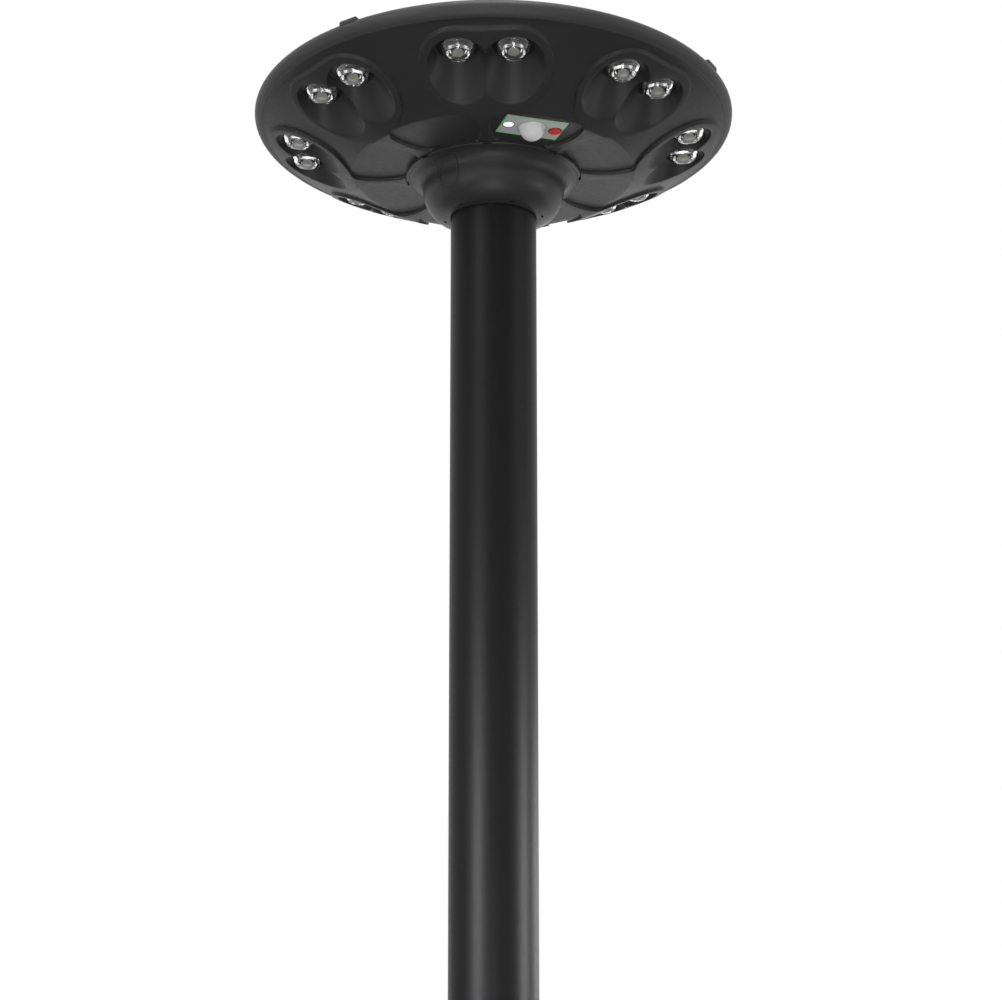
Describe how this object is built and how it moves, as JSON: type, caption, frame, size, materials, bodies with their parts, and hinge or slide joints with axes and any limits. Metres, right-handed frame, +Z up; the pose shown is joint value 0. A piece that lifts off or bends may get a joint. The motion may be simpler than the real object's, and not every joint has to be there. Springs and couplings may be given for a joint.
{
  "type": "solar street light",
  "caption": "Post-top solar street light: round lamp head with lens petals, motion sensor and solar panel on a steel pole with a bolted base plate.",
  "frame": {"origin": "centre of the base plate's underside, at ground level", "axes": "+Z up along the pole; petal 1 and the middle of a base side face -Y"},
  "size_m": [0.4199, 0.42, 2.5235],
  "materials": {
    "pole_paint": "fine textured black powder coat",
    "base_paint": "fine textured black powder coat",
    "housing": "fine matte moulded plastic",
    "hub": "satin moulded plastic",
    "cover": "satin moulded plastic",
    "bezel": "satin black ring",
    "lens": "clear moulded lens",
    "plate": "satin grey with a green border",
    "dome": "frosted white",
    "window": "white translucent",
    "button": "satin red",
    "cells": "dark blue silicon cells",
    "panel_glass": "smooth tempered glass",
    "clip": "satin moulded plastic"
  },
  "bodies": {
    "light": {"base_plate": "base_paint", "base_gussets": "base_paint", "pole": "pole_paint", "hub_bowl": "hub", "hub_ring": "hub", "access_cover_1": "hub", "access_cover_2": "hub", "access_cover_3": "hub", "lower_housing": "housing", "top_cover": "cover", "solar_cells": "cells", "panel_glass": "panel_glass", "rim_clip_1": "clip", "rim_clip_2": "clip", "rim_clip_3": "clip", "rim_clip_4": "clip", "lens_bezels_1": "bezel", "lens_bezels_2": "bezel", "lens_bezels_3": "bezel", "lens_bezels_4": "bezel", "lens_bezels_5": "bezel", "lens_bezels_6": "bezel", "lens_bezels_7": "bezel", "lens_bezels_8": "bezel", "lens_pair_1": "lens", "lens_pair_2": "lens", "lens_pair_3": "lens", "lens_pair_4": "lens", "lens_pair_5": "lens", "lens_pair_6": "lens", "lens_pair_7": "lens", "lens_pair_8": "lens", "sensor_plate": "plate", "sensor_dome": "dome", "indicator_window": "window"},
    "button": {"power_button": "button"}
  },
  "joints": [
    {"name": "button_press", "type": "slide", "parent": "light", "child": "button", "axis": [0, 0, 1], "range_m": [0, 0.0008], "stiffness_N_per_m": 400}
  ]
}
